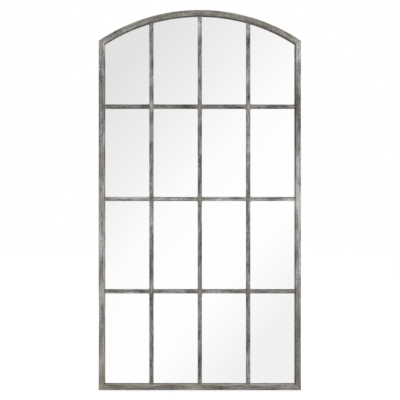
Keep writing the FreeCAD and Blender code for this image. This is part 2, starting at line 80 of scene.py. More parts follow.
bl_info = {
    "name": "Arched mirror",
    "version": (1, 0, 0),
    "blender": (4, 5, 0),
    "location": "View3D > Sidebar > Mirror",
    "description": "Dresses the packed model of an arched window mirror",
    "category": "Object",
}


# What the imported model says, in metres


def middle_of(node):
    """The middle of a CAD node's box."""
    low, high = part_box(node)
    return (low + high) / 2


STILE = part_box("right_stile")
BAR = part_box("upright_centre")
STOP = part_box("bottom_stop")
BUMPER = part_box("wall_bumpers")
FRONT, REAR = STILE[0].y, STILE[1].y
HALF_WIDTH, OPENING_HALF = STILE[1].x, STILE[0].x
TUBE_WIDTH = HALF_WIDTH - OPENING_HALF
BAR_HALF = BAR[1].x
HEIGHT, SPRING = cad_box[1].z, STILE[1].z
RISE = HEIGHT - SPRING
ARCH_RADIUS = (HALF_WIDTH ** 2 + RISE ** 2) / (2 * RISE)
ARCH_CENTRE = HEIGHT - ARCH_RADIUS
OPENING_RADIUS = ARCH_RADIUS - TUBE_WIDTH
OPENING_SPRING = ARCH_CENTRE + math.sqrt(OPENING_RADIUS ** 2 - OPENING_HALF ** 2)
BAR_END_RADIUS = BAR[1].z - ARCH_CENTRE
COLUMNS = {name: middle_of(f"upright_{name}").x for name in ("left", "centre", "right")}
ROWS = {name: middle_of(f"cross_bar_{name}_1").z for name in ("lower", "middle", "upper")}
COLUMN_PITCH = COLUMNS["right"] - COLUMNS["centre"]
ROW_PITCH = ROWS["upper"] - ROWS["middle"]
BUTTONS = [joint for joint in frame["joints"] if joint["child"].startswith("turn_button")]
BAYS = range(1, len(COLUMNS) + 2)  # between the uprights and the stiles
ARCH_REACH = math.asin(HALF_WIDTH / ARCH_RADIUS)

# Tolerances and depths, in metres

MM = 0.001
MERGE = 1e-6  # points nearer to each other than this become one
ON_PLANE = 1e-5  # points nearer to a plane than this lie on it
SILVER_DEPTH = 0.0002  # further back than this from its front, the glass shows its paint
TONE_PUSH = 0.12  # the most that blotches push the border of a tone
HEAT_FRAY = 0.05  # the most that blotches push the border of the heat tint

# Shares and angles

ALONG = 0.99  # a direction with a larger share than this on an axis runs along it
RIM = 0.97  # points further out than this share of a radius are on the rim
OVERSHOOT = math.radians(1.5)  # how far the arch tube is bent past its corners before they are mitred
EDGE_FACING, EDGE_SPREAD = 0.6, 0.35  # how far the rounded edges of a tube face forwards or backwards
SMEAR_RELIEF = 0.6  # the height of the smears, in that of the grain
PAINT_ROUGHNESS = 0.6
BEAD_RADIUS, BEAD_OUT = 0.87, 0.26  # a bead's radius and the place of its middle, in legs of the bead
BEAD_RINGS, BEAD_RIPPLES, BEAD_END = 10, (1.0, 0.9), 0.7  # rings along a bead, and their sizes
BEAD_SEED, BEAD_LEAST = 5, 0.85  # for beads of uneven width, and the narrowest, in the widest
DISH_TAPER = 0.8  # the size of the bottom of a bumper's dish, in that of its top
WAVE_RADIANS = 20  # how far a wave texture turns in one unit

# The wall behind the camera: how its shades run across and up it, where they start, and the shades

WALL_ACROSS, WALL_UP, WALL_START = 2.62, -2.29, 0.512
WALL_SHADES = (
    (0.0, "E3E3E3"), (1.0, "F1F1F1"), (0.25, "F0F0F0"), (0.45, "FCFCFC"), (0.61, "FFFFFF"), (0.76, "FFFFFF"),
    (0.875, "F9F9F9"))

# The rest of the room: its level, how much brighter it is to the right and above, and its soft bands

ROOM_MIDDLE, ROOM_RIGHT, ROOM_ABOVE = 0.72, 0.36, 0.124
BAND_DEPTH, BAND_WAY = 0.103, (9, 0, -7)
LEAST_DEPTH = 0.1  # keeps the slopes of the wall finite at its sides
PAPER_LIFT = 0.3  # the light that lifts the floor to white for the camera


def linear(code):
    """A six digit sRGB hex value as linear RGBA."""
    shares = [int(code[place:place + 2], 16) / 255 for place in (0, 2, 4)]
    return [s / 12.92 if s <= 0.04045 else ((s + 0.055) / 1.055) ** 2.4 for s in shares] + [1.0]


def per_mm(size):
    """The scale of a pattern whose features are this many millimetres long, in features per metre."""
    return 1 / (size * MM)


def colour(title, words, code):
    """A colour that a user can change."""
    return FloatVectorProperty(
        name=title, description=words, subtype="COLOR", size=4, min=0, max=1, default=linear(code))


def length(title, words, default):
    """A length in metres that a user can change."""
    return FloatProperty(name=title, description=words, default=default, min=0, precision=4, unit="LENGTH")


def location(title, words, default):
    """A place in metres that a user can change."""
    return FloatVectorProperty(
        name=title, description=words, default=default, subtype="TRANSLATION", unit="LENGTH")


def power(title, words, default):
    """The power of a light in watts that a user can change."""
    return FloatProperty(name=title, description=words, default=default, min=0, unit="POWER")


class MirrorColours(bpy.types.PropertyGroup):
    """The colours of the finishes."""

    steel_dark: colour("Dark steel", "Hollows and smears that kept the dark wash", "3A3938")
    steel_middle: colour("Grey steel", "The washed steel over most of the frame", "8B8A88")
    # Faces that look up are also painted towards this shade, as painted light from above.
    steel_light: colour("Light steel", "Places that are rubbed bright", "CDCDCA")
    oxide: colour("Brown oxide", "A thin brown film on parts of the steel", "92826D")
    heat_tint: colour("Heat tint", "Tan steel where it was welded and ground", "A89E8E")
    silver: colour("Silvering", "The mirror's silver, seen through its glass", "FEFEFE")
    back_paint: colour("Backing paint", "Paint that protects the silver", "5B5E61")
    fibre: colour("Fibreboard", "The backing board", "B89A74")
    fibre_dark: colour("Fibre flecks", "Bark and dark fibres in the board", "8F7250")
    hardboard: colour("Hardboard", "The packing strips", "6A4B31")
    zinc: colour("Zinc plate", "Turn buttons, hangers and screws", "B9BCC0")
    zinc_tint: colour("Zinc bloom", "Cloudy places in the zinc", "A3A6A4")
    rubber: colour("Rubber", "Bumpers and setting blocks", "262627")
    rubber_dust: colour("Dust", "Dust in the rubber's grain", "4A4947")
    floor: colour("Floor", "The studio floor", "F4F4F4")


class MirrorSizes(bpy.types.PropertyGroup):
    """The sizes of the details."""

    tube_corner: length("Tube corner", "Outside radius of the frame tube's corners", 0.0025)
    tube_wall: length("Tube wall", "Thickness of the frame tube", 0.0015)
    arch_steps: IntProperty(
        name="Arch steps", description="Number of flats round the bent pieces", default=144, min=24)
    bead_leg: length("Weld leg", "How far a weld bead reaches along each bar", 0.003)
    bead_front: length("Weld front", "Depth of the beads behind the front of the bars", 0.0015)
    glass_edge: length("Glass arris", "Width of the ground edge round the mirror", 0.0005)
    board_edge: length("Board edge", "Roundness of the board's edges", 0.0008)
    button_edge: length("Button edge", "Roundness of the stamped edge of a turn button", 0.0004)
    button_hole: length("Button hole", "Radius of the hole in a turn button", 0.0022)
    bumper_dish: length("Bumper dish", "Depth of the dish in a bumper's top", 0.0008)
    bumper_edge: length("Bumper edge", "Roundness of a bumper's top edge", 0.0015)
    bumper_base: length("Bumper base", "Radius of a bumper where it meets the frame", 0.008)
    bumper_top: length("Bumper top", "Radius of a bumper where it meets the wall", 0.0065)
    bumper_rim: length("Bumper rim", "Width of the flat rim round a bumper's dish", 0.00195)


class MirrorStudio(bpy.types.PropertyGroup):
    """The sizes and levels of the studio."""

    camera_distance: length("Camera distance", "From the front of the frame to the camera", 4.76)
    camera_aside: length("Camera aside", "How far the camera is to the right of the middle", 0.0009)
    view_width: length("View width", "Width of the picture at the front of the frame", 1.8933)
    key_power: power("Key light", "Large soft light on the right, in front", 70)
    key_place: location("Key place", "Where the key light is", (2.6, -3.4, 3.4))
    back_power: power("Back light", "Soft light behind, for the back of the mirror", 45)
    back_place: location("Back place", "Where the back light is", (-2.4, 3.2, 2.6))
    light_size: length("Light size", "Side of each of the square lights", 2.2)
    room_level: FloatProperty(
        name="Room light", description="Strength of the even light of the room", default=0.77, min=0)
    floor_size: length("Floor size", "Side of the square floor", 24)
    floor_drop: length("Floor drop", "Gap between the bottom rail and the floor", 0.0005)


# Tools for materials


def add_node(tree, kind, links=None, stops=None, **settings):
    """Adds a node with its settings. Each of links is a number or colour, or a socket or node to link."""
    made = tree.nodes.new(kind)
    for name, setting in settings.items():
        setattr(made, name, setting)
    for name, source in (links or {}).items():
        if isinstance(source, bpy.types.Node):
            source = next(socket for socket in source.outputs if socket.enabled)
        if isinstance(source, bpy.types.NodeSocket):
            tree.links.new(source, made.inputs[name])
        else:
            made.inputs[name].default_value = source
    for place, (position, shade) in enumerate(stops or []):
        points = made.color_ramp.elements
        point = points[place] if place < 2 else points.new(position)
        point.position, point.color = position, shade
    return made


def new_material(name):
    """A material, its node tree and its object coordinates."""
    material = bpy.data.materials.new(name)
    material.use_nodes = True
    tree = material.node_tree
    return material, tree, add_node(tree, "ShaderNodeTexCoord").outputs["Object"]


def finish_material(tree, links, **levels):
    """Links patterns to the shader's sockets and sets the sockets that are the same all over."""
    shader = tree.nodes["Principled BSDF"]
    for name, source in links.items():
        tree.links.new(next(socket for socket in source.outputs if socket.enabled), shader.inputs[name])
    for name, level in levels.items():
        shader.inputs[name.replace("_", " ").title()].default_value = level


def dress(material, *names):
    """Gives CAD nodes a material."""
    for name in names:
        frame["nodes"][name].material_slots[0].material = material


# Tools for modelling


def add_start(context, kind, name, stretch=(1, 1, 1), **place):
    """Adds a primitive at its size and place as the start of a piece, and opens it for editing."""
    bpy.ops.object.select_all(action="DESELECT")
    getattr(bpy.ops.mesh, f"primitive_{kind}_add")(**place)
    context.object.name = context.object.data.name = name
    context.object.scale = stretch
    bpy.ops.object.transform_apply(location=True, rotation=True, scale=True)
    bpy.ops.object.mode_set(mode="EDIT")
    return context.object


def pick(context, kind, test):
    """Selects the vertices, edges or faces that pass a test of their middle and their normal or direction."""
    bpy.ops.mesh.select_mode(type=kind)
    bpy.ops.mesh.select_all(action="DESELECT")
    mesh = bmesh.from_edit_mesh(context.object.data)
    if kind == "EDGE":
        ends = [(edge, edge.verts[0].co, edge.verts[1].co) for edge in mesh.edges]
        found = [edge for edge, one, two in ends if test((one + two) / 2, (two - one).normalized())]
    elif kind == "FACE":
        found = [face for face in mesh.faces if test(face.calc_center_median(), face.normal)]
    else:
        found = [point for point in mesh.verts if test(point.co, point.normal)]
    for part in found:
        part.select_set(True)
    mesh.select_flush_mode()
    bmesh.update_edit_mesh(context.object.data)


def close_piece(context, angle=35):
    """Merges doubles, turns the faces outwards, leaves edit mode and smooths the shading."""
    bpy.ops.mesh.select_all(action="SELECT")
    bpy.ops.mesh.remove_doubles(threshold=MERGE)
    bpy.ops.mesh.normals_make_consistent(inside=False)
    bpy.ops.object.mode_set(mode="OBJECT")
    bpy.ops.object.shade_smooth_by_angle(angle=math.radians(angle))
    return context.object


def apply_modifier(context, kind, **settings):
    """Adds a modifier to the active piece and applies it."""
    modifier = context.object.modifiers.new(kind.title(), kind)
    for name, setting in settings.items():
        setattr(modifier, name, setting)
    bpy.ops.object.modifier_apply(modifier=modifier.name)


def lay_copies(context, master, name, places):
    """Copies a piece to each place, joins the copies into one piece and takes the master away."""
    bpy.ops.object.select_all(action="DESELECT")
    for place in places:
        copy = master.copy()
        copy.data = master.data.copy()
        copy.data.transform(place)
        context.collection.objects.link(copy)
        copy.select_set(True)
        context.view_layer.objects.active = copy
    bpy.ops.object.join()
    bpy.data.objects.remove(master)
    context.object.name = context.object.data.name = name
    return context.object


def settle(piece, material, slot, body, *nodes):
    """Gives a new piece its material and its body, and hides the CAD nodes it stands for."""
    piece.data.materials.clear()
    piece.data.materials.append(material)
    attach(piece, body)
    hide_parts(*nodes)


# Steel


def place_along(tree, place, run):
    """Object coordinates turned so that Z runs along a piece: upright, level or round the arch."""
    if run != "arch":
        turn = (0, math.radians(90) if run == "level" else 0, 0)
        return add_node(tree, "ShaderNodeMapping", {"Vector": place, "Rotation": turn})
    split = add_node(tree, "ShaderNodeSeparateXYZ", {"Vector": place})
    above = add_node(tree, "ShaderNodeMath", {0: split.outputs["Z"], 1: ARCH_CENTRE}, operation="SUBTRACT")
    angle = add_node(tree, "ShaderNodeMath", {0: split.outputs["X"], 1: above}, operation="ARCTAN2")
    along = add_node(tree, "ShaderNodeMath", {0: angle, 1: ARCH_RADIUS}, operation="MULTIPLY")
    spoke = add_node(tree, "ShaderNodeCombineXYZ", {"X": split.outputs["X"], "Z": above})
    reach = add_node(tree, "ShaderNodeVectorMath", {0: spoke}, operation="LENGTH")
    return add_node(tree, "ShaderNodeCombineXYZ", {
        "X": reach.outputs["Value"], "Y": split.outputs["Y"], "Z": along})


def weld_distance(tree, place, corners):
    """The distance to the nearest weld: a corner of the frame, or else a crossing of the grid."""
    split = add_node(tree, "ShaderNodeSeparateXYZ", {"Vector": place})
    if not corners:
        aside = add_node(tree, "ShaderNodeMath", {
            0: split.outputs["X"], 1: COLUMN_PITCH / 2, 2: -COLUMN_PITCH / 2}, operation="WRAP")
        rise = add_node(tree, "ShaderNodeMath", {
            0: split.outputs["Z"], 1: ROWS["middle"]}, operation="SUBTRACT")
        rise = add_node(tree, "ShaderNodeMath", {
            0: rise, 1: ROW_PITCH / 2, 2: -ROW_PITCH / 2}, operation="WRAP")
        flat = add_node(tree, "ShaderNodeCombineXYZ", {"X": aside, "Z": rise})
        return add_node(tree, "ShaderNodeVectorMath", {0: flat}, operation="LENGTH").outputs["Value"]
    side = add_node(tree, "ShaderNodeMath", {0: split.outputs["X"]}, operation="ABSOLUTE")
    folded = add_node(tree, "ShaderNodeCombineXYZ", {"X": side, "Z": split.outputs["Z"]})
    # The middles of the mitres
    spots = [(HALF_WIDTH - TUBE_WIDTH / 2, 0, rise) for rise in (TUBE_WIDTH / 2, SPRING - TUBE_WIDTH / 4)]
    reaches = [
        add_node(tree, "ShaderNodeVectorMath", {0: folded, 1: spot}, operation="DISTANCE") for spot in spots]
    low, high = (reach.outputs["Value"] for reach in reaches)
    return add_node(tree, "ShaderNodeMath", {0: low, 1: high}, operation="MINIMUM").outputs[0]


def weathered_steel(name, colours, run, tones, corners=False, patches=1.4, streaks=1.1, grain=0.9, painted_top_light=0.0,
                    brown=0.15, film_range=(0.38, 0.68), damp=0.14):
    """Mild steel tube with a zinc wash, darkened by hand and rubbed back along its length.

    The eye sees a dull grey metal with long smears and blotches, a brown film in places, tan heat tint at the
    welds and edges that are rubbed brighter. tones are pairs of a place along the piece, in millimetres, and
    a lightness from 0 to 1. ledge is how much paler faces that look up are painted: painted light from above.
    brown is the strength of the film, film_range the levels of its noise between which it goes from none to
    full, and damp what is added to that noise at the floor.
    """
    material, tree, place = new_material(name)
    run_place = place_along(tree, place, run)
    along = add_node(tree, "ShaderNodeSeparateXYZ", {"Vector": run_place}).outputs["Z"]
    # Blotches 28 mm across and 95 mm long, smears 7 mm by 110 mm and a grain of 8 mm. Real smears are under
    # 1 mm wide and the grain under 2 mm: they are drawn coarser so that they show.
    patterns = []
    for size, reach, detail in ((28, 95, 5), (7, 110, 6), (8, 8, 5)):
        pattern_place = add_node(tree, "ShaderNodeMapping", {
            "Vector": run_place, "Scale": (per_mm(size), per_mm(size), per_mm(reach))})
        patterns.append(add_node(tree, "ShaderNodeTexNoise", {
            "Vector": pattern_place, "Scale": 1, "Detail": detail, "Roughness": 0.6}))
    blotch, smear, speck = patterns
    # The overall tone along the piece, its borders pushed about by the blotches
    pushed = add_node(tree, "ShaderNodeMath", {0: blotch, 1: TONE_PUSH, 2: along}, operation="MULTIPLY_ADD")
    first, last = tones[0][0] * MM, tones[-1][0] * MM
    share = add_node(tree, "ShaderNodeMapRange", {
        "Value": pushed, "From Min": first + TONE_PUSH / 2, "From Max": last + TONE_PUSH / 2})
    stops = [((spot * MM - first) / (last - first), [tone] * 3 + [1.0]) for spot, tone in tones]
    # A ramp begins with its two ends.
    stops = [stops[0], stops[-1]] + stops[1:-1]
    tone = add_node(tree, "ShaderNodeValToRGB", {"Fac": share}, stops)
    # The patterns are about a half on average, so half of what they can add comes off first.
    light = add_node(tree, "ShaderNodeMath", {
        0: tone, 1: (patches + streaks + grain) / 2}, operation="SUBTRACT")
    for pattern, depth in zip(patterns, (patches, streaks, grain)):
        light = add_node(tree, "ShaderNodeMath", {0: pattern, 1: depth, 2: light}, operation="MULTIPLY_ADD")
    normal = add_node(tree, "ShaderNodeNewGeometry").outputs["Normal"]
    if painted_top_light:
        # Painted light: faces that look up are painted paler, as if lit from above.
        upward = add_node(tree, "ShaderNodeSeparateXYZ", {"Vector": normal}).outputs["Z"]
        dust_and_painted_top_light = add_node(tree, "ShaderNodeMapRange", {
            "Value": upward, "From Min": 0.4, "From Max": 0.9, "To Max": painted_top_light})
        light = add_node(tree, "ShaderNodeMath", {0: light, 1: dust_and_painted_top_light}, operation="ADD")
    # The rounded edges face half forwards or half backwards, and are rubbed where the blotches are pale.
    ahead = add_node(tree, "ShaderNodeSeparateXYZ", {"Vector": normal}).outputs["Y"]
    ahead = add_node(tree, "ShaderNodeMath", {0: ahead}, operation="ABSOLUTE")
    edge = add_node(tree, "ShaderNodeMath", {
        0: ahead, 1: EDGE_FACING, 2: EDGE_SPREAD}, operation="COMPARE")
    rub = add_node(tree, "ShaderNodeMapRange", {
        "Value": blotch, "From Min": 0.4, "From Max": 0.65, "To Max": 0.22})
    light = add_node(tree, "ShaderNodeMath", {0: edge, 1: rub, 2: light}, operation="MULTIPLY_ADD")
    steel = add_node(tree, "ShaderNodeValToRGB", {"Fac": light}, [
        (0.0, colours.steel_dark), (1.0, colours.steel_light), (0.5, colours.steel_middle)])
    # Brown film in drifts about 150 mm long, thicker within 350 mm of the floor
    drift_place = add_node(tree, "ShaderNodeMapping", {
        "Vector": run_place, "Scale": (per_mm(50), per_mm(50), per_mm(150))})
    drift = add_node(tree, "ShaderNodeTexNoise", {"Vector": drift_place, "Scale": 1, "Detail": 2})
    above = add_node(tree, "ShaderNodeSeparateXYZ", {"Vector": place}).outputs["Z"]
    foot = add_node(tree, "ShaderNodeMapRange", {
        "Value": above, "From Max": 0.35, "To Min": damp, "To Max": 0})
    browned = add_node(tree, "ShaderNodeMath", {0: drift, 1: foot}, operation="ADD")
    film = add_node(tree, "ShaderNodeMapRange", {
        "Value": browned, "From Min": film_range[0], "From Max": film_range[1], "To Max": brown})
    filmed = add_node(tree, "ShaderNodeMix", {0: film, 6: steel, 7: colours.oxide}, data_type="RGBA")
    # Heat tint to about 25 mm from a weld, with a frayed border, stronger at some welds than at others
    frayed = add_node(tree, "ShaderNodeMath", {
        0: blotch, 1: HEAT_FRAY, 2: weld_distance(tree, place, corners)}, operation="MULTIPLY_ADD")
    heat = add_node(tree, "ShaderNodeMapRange", {
        "Value": frayed, "From Min": 0.03, "From Max": 0.06, "To Min": 1.0, "To Max": 0})
    uneven = add_node(tree, "ShaderNodeMapRange", {
        "Value": drift, "From Min": 0.35, "From Max": 0.65, "To Min": 0.1, "To Max": 0.6})
    heat = add_node(tree, "ShaderNodeMath", {0: heat, 1: uneven}, operation="MULTIPLY")
    tinted = add_node(tree, "ShaderNodeMix", {0: heat, 6: filmed, 7: colours.heat_tint}, data_type="RGBA")
    dull = add_node(tree, "ShaderNodeMapRange", {
        "Value": light, "From Min": 0, "From Max": 1, "To Min": 0.6, "To Max": 0.42})
    relief = add_node(tree, "ShaderNodeMath", {
        0: smear, 1: SMEAR_RELIEF, 2: speck}, operation="MULTIPLY_ADD")
    bump = add_node(tree, "ShaderNodeBump", {"Height": relief, "Strength": 0.4, "Distance": 0.0005})
    finish_material(tree, {"Base Color": tinted, "Roughness": dull, "Normal": bump}, metallic=0.9)
    return material


# Frame and bars


def cut(point, normal, fill):
    """Cuts a piece on a plane and takes away the side that the normal points to."""
    bpy.ops.mesh.select_all(action="SELECT")
    bpy.ops.mesh.bisect(plane_co=point, plane_no=Vector(normal).normalized(), clear_outer=True, use_fill=fill,
                        threshold=MERGE)


def sweep_arch(context, name, radii, depth, reach, corner=0.0):
    """Bends a section round the arch's centre, this far to each side, and leaves it open at the ends."""
    spoke = Vector((-math.sin(reach), 0, math.cos(reach))) * sum(radii) / 2
    place = Vector((0, sum(depth) / 2, ARCH_CENTRE)) + spoke
    add_start(context, "plane", name, (radii[1] - radii[0], depth[1] - depth[0], 1), size=1, location=place,
              rotation=(0, -reach - math.radians(90), 0))
    bpy.ops.mesh.select_all(action="SELECT")
    if corner:
        bpy.ops.mesh.bevel(offset=corner, segments=5, affect="VERTICES")
    bpy.ops.mesh.delete(type="ONLY_FACE")
    bpy.ops.mesh.select_all(action="SELECT")
    steps = context.scene.mirror_sizes.arch_steps
    bpy.ops.mesh.spin(steps=steps, angle=2 * reach, center=(0, 0, ARCH_CENTRE), axis=(0, -1, 0))


class MIRROR_OT_straight_tubes(bpy.types.Operator):
    """Finishes the stiles and the bottom rail, with the stops along them"""

    bl_idname = "mirror.straight_tubes"
    bl_label = "Stiles and bottom rail"

    def execute(self, context):
        colours = context.scene.mirror_colours
        left = weathered_steel("left_stile_steel", colours, "upright", [
            (0, 0.82), (230, 0.6), (420, 0.72), (900, 0.66), (1050, 0.46), (1560, 0.38), (1650, 0.74)],
            corners=True, brown=0.45, damp=0.42)
        dress(left, "left_stile", "left_stop")
        right = weathered_steel("right_stile_steel", colours, "upright", [
            (0, 0.28), (500, 0.48), (900, 0.76), (1180, 0.46), (1370, 0.04), (1480, 0.58), (1650, 0.5)],
            corners=True, brown=0.28, damp=0.5)
        dress(right, "right_stile", "right_stop")
        # The rail's top face is painted paler, as painted light from above.
        bottom = weathered_steel("bottom_rail_steel", colours, "level", [
            (-480, 0.46), (0, 0.43), (480, 0.43)], corners=True, streaks=1.5, painted_top_light=0.55, brown=0.4)
        dress(bottom, "bottom_rail", "bottom_stop")
        return {"FINISHED"}


class MIRROR_OT_arch_rail(bpy.types.Operator):
    """Bends the arch tube and mitres its ends"""

    bl_idname = "mirror.arch_rail"
    bl_label = "Arch rail"

    def execute(self, context):
        sizes = context.scene.mirror_sizes
        radii, depth = (OPENING_RADIUS, ARCH_RADIUS), (FRONT, REAR)
        sweep_arch(context, "bent_arch_rail", radii, depth, ARCH_REACH + OVERSHOOT, sizes.tube_corner)
        for side in (-1, 1):
            outwards = (side * (SPRING - OPENING_SPRING), 0, -TUBE_WIDTH)
            cut((side * HALF_WIDTH, 0, SPRING), outwards, fill=False)
        piece = close_piece(context)
        apply_modifier(context, "SOLIDIFY", thickness=sizes.tube_wall, offset=-1)
        steel = weathered_steel("arch_steel", context.scene.mirror_colours, "arch", [
            (-510, 0.66), (-440, 0.46), (-280, 0.5), (0, 0.42), (260, 0.5), (440, 0.36), (510, 0.4)],
            corners=True, patches=1.3, streaks=0.9, brown=0.44, film_range=(0.15, 0.85))
        settle(piece, steel, "frame_steel", "frame", "arch_rail")
        return {"FINISHED"}


class MIRROR_OT_arch_stop(bpy.types.Operator):
    """Bends the strip under the arch and cuts a length of it for each bay"""

    bl_idname = "mirror.arch_stop"
    bl_label = "Arch stop"

    def execute(self, context):
        radii = (BAR_END_RADIUS - (STOP[1].z - STOP[0].z), BAR_END_RADIUS)
        depth = (STOP[0].y, STOP[1].y)
        lengths = []
        for bay in BAYS:
            low, high = (corner.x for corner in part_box(f"cross_bar_upper_{bay}"))
            sweep_arch(context, "stop_length", radii, depth, ARCH_REACH)
            cut((low, 0, 0), (-1, 0, 0), fill=True)
            cut((high, 0, 0), (1, 0, 0), fill=True)
            lengths.append(close_piece(context))
        for piece in lengths:
            piece.select_set(True)
        bpy.ops.object.join()
        context.object.name = context.object.data.name = "bent_arch_stop"
        settle(context.object, bpy.data.materials["arch_steel"], "frame_steel", "frame", "arch_stop")
        return {"FINISHED"}


class MIRROR_OT_glazing_bars(bpy.types.Operator):
    """Finishes the uprights and the cross bars"""

    bl_idname = "mirror.glazing_bars"
    bl_label = "Glazing bars"

    def execute(self, context):
        colours = context.scene.mirror_colours
        upright = weathered_steel("upright_steel", colours, "upright", [(0, 0.4), (900, 0.42), (1800, 0.46)],
                                  patches=1.9)
        dress(upright, *[f"upright_{column}" for column in COLUMNS])
        for row, tone in {"lower": 0.46, "middle": 0.58, "upper": 0.29}.items():
            # The bars' top faces are painted a little paler, as painted light from above.
            steel = weathered_steel(f"{row}_row_steel", colours, "level", [
                (-480, tone), (0, tone), (480, tone)], patches=1.6, streaks=1.8, painted_top_light=0.15)
            dress(steel, *[f"cross_bar_{row}_{bay}" for bay in BAYS])
        return {"FINISHED"}


def model_bead(context, legs):
    """A weld bead in the corner between two directions, laid from front to back in ripples."""
    leg = context.scene.mirror_sizes.bead_leg
    front, back = BAR[0].y + context.scene.mirror_sizes.bead_front, STOP[0].y
    middle = (legs[0] + legs[1]).normalized() * leg * BEAD_OUT
    middle.y = (front + back) / 2
    bead = add_start(context, "cylinder", "weld_bead", vertices=20, radius=leg * BEAD_RADIUS,
                     depth=back - front, location=middle, rotation=(math.radians(90), 0, 0))
    pick(context, "EDGE", lambda spot, way: abs(way.y) > ALONG)
    bpy.ops.mesh.subdivide(number_cuts=BEAD_RINGS - 2)
    last = BEAD_RINGS - 1
    for ring in range(BEAD_RINGS):
        depth = front + (back - front) * ring / last
        share = BEAD_END if ring in (0, last) else BEAD_RIPPLES[ring % 2]
        pick(context, "VERT", lambda spot, normal: abs(spot.y - depth) < ON_PLANE)
        bpy.ops.transform.resize(value=(share, 1, share), center_override=(middle.x, depth, middle.z))
    for leg_way, other in (legs, reversed(legs)):
        cut((0, 0, 0), leg_way * other.dot(leg_way) - other, fill=True)
    close_piece(context, angle=50)
    return bead


class MIRROR_OT_weld_beads(bpy.types.Operator):
    """Models a weld bead and lays it in the corners of the grid"""

    bl_idname = "mirror.weld_beads"
    bl_label = "Weld beads"

    def execute(self, context):
        steel = weathered_steel("weld_steel", context.scene.mirror_colours, "upright", [
            (0, 0.5), (1800, 0.5)], grain=1.2)
        turns = {(1, 1): 0, (1, -1): 90, (-1, -1): 180, (-1, 1): -90}
        hand = random.Random(BEAD_SEED)

        def corner(x, z, right, up):
            """The place of a bead whose legs point right or left and up or down."""
            turn = Matrix.Rotation(math.radians(turns[right, up]), 4, "Y")
            width = Matrix.Diagonal((hand.uniform(BEAD_LEAST, 1), 1, 1, 1))
            return Matrix.Translation((x, 0, z)) @ turn @ width

        ways = [(right, up) for right in (-1, 1) for up in (-1, 1)]
        crossings = [
            corner(x + right * BAR_HALF, z + up * BAR_HALF, right, up)
            for x in COLUMNS.values() for z in ROWS.values() for right, up in ways]
        ends = [
            corner(side * OPENING_HALF, z + up * BAR_HALF, -side, up)
            for z in ROWS.values() for side, up in ways]
        ends += [
            corner(x + side * BAR_HALF, TUBE_WIDTH, side, 1) for x in COLUMNS.values() for side in (-1, 1)]
        square = (Vector((1, 0, 0)), Vector((0, 0, 1)))
        piece = lay_copies(context, model_bead(context, square), "crossing_beads", crossings)
        settle(piece, steel, "weld", "frame", "crossing_welds")
        pieces = [lay_copies(context, model_bead(context, square), "bar_end_beads", ends)]
        for x in COLUMNS.values():
            for side in (-1, 1):
                edge = x + side * BAR_HALF
                rise = math.sqrt(BAR_END_RADIUS ** 2 - edge ** 2)
                slope = Vector((rise, 0, -edge)).normalized() * side
                bead = model_bead(context, (slope, Vector((0, 0, -1))))
                bead.data.transform(Matrix.Translation((edge, 0, ARCH_CENTRE + rise)))
                pieces.append(bead)
        bpy.ops.object.select_all(action="DESELECT")
        for piece in pieces:
            piece.select_set(True)
        context.view_layer.objects.active = pieces[0]
        bpy.ops.object.join()
        settle(pieces[0], steel, "weld", "frame", "bar_end_welds")
        return {"FINISHED"}


# Mirror and board


def model_sheet(context, name, node, edge):
    """An arched sheet of a CAD node's size: a disc cut straight at its sides and drawn down to its foot."""
    low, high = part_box(node)
    add_start(context, "circle", name, vertices=720, radius=high.z - ARCH_CENTRE, fill_type="NGON",
              location=(0, low.y, ARCH_CENTRE), rotation=(math.radians(90), 0, 0))
    cut((high.x, 0, 0), (1, 0, 0), fill=False)
    cut((low.x, 0, 0), (-1, 0, 0), fill=False)
    cut((0, 0, ARCH_CENTRE), (0, 0, -1), fill=False)
    pick(context, "EDGE", lambda spot, way: abs(spot.z - ARCH_CENTRE) < ON_PLANE and abs(way.x) > ALONG)
    bpy.ops.mesh.extrude_region()
    bpy.ops.transform.translate(value=(0, 0, low.z - ARCH_CENTRE))
    bpy.ops.mesh.select_all(action="SELECT")
    bpy.ops.mesh.extrude_region()
    bpy.ops.transform.translate(value=(0, high.y - low.y, 0))
    bpy.ops.mesh.select_all(action="SELECT")
    bpy.ops.mesh.normals_make_consistent(inside=False)
    bpy.ops.mesh.select_mode(type="EDGE")
    bpy.ops.mesh.select_all(action="DESELECT")
    bpy.ops.mesh.edges_select_sharp(sharpness=math.radians(60))
    bpy.ops.mesh.bevel(offset=edge, segments=1)
    return close_piece(context, angle=10)


class MIRROR_OT_glass(bpy.types.Operator):
    """Cuts the mirror and silvers it"""

    bl_idname = "mirror.glass"
    bl_label = "Mirror glass"

    def execute(self, context):
        colours, sizes = context.scene.mirror_colours, context.scene.mirror_sizes
        piece = model_sheet(context, "mirror_sheet", "mirror_glass", sizes.glass_edge)
        # Silvered float glass: a clean bright reflection in front with a faint film of wiping marks, and dull
        # grey paint on the edge and behind.
        material, tree, place = new_material("silvered_float_glass")
        depth = add_node(tree, "ShaderNodeSeparateXYZ", {"Vector": place}).outputs["Y"]
        behind = add_node(tree, "ShaderNodeMath", {
            0: depth, 1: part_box("mirror_glass")[0].y + SILVER_DEPTH}, operation="GREATER_THAN")
        shade = add_node(tree, "ShaderNodeMix", {
            0: behind, 6: colours.silver, 7: colours.back_paint}, data_type="RGBA")
        wipes = add_node(tree, "ShaderNodeTexNoise", {"Vector": place, "Scale": per_mm(180), "Detail": 3})
        film = add_node(tree, "ShaderNodeMapRange", {
            "Value": wipes, "From Min": 0.4, "From Max": 0.7, "To Min": 0.0, "To Max": 0.02})
        rough = add_node(tree, "ShaderNodeMath", {
            0: behind, 1: PAINT_ROUGHNESS, 2: film}, operation="MULTIPLY_ADD")
        metal = add_node(tree, "ShaderNodeMath", {0: 1, 1: behind}, operation="SUBTRACT")
        finish_material(tree, {"Base Color": shade, "Roughness": rough, "Metallic": metal})
        settle(piece, material, "mirror", "frame", "mirror_glass")
        return {"FINISHED"}


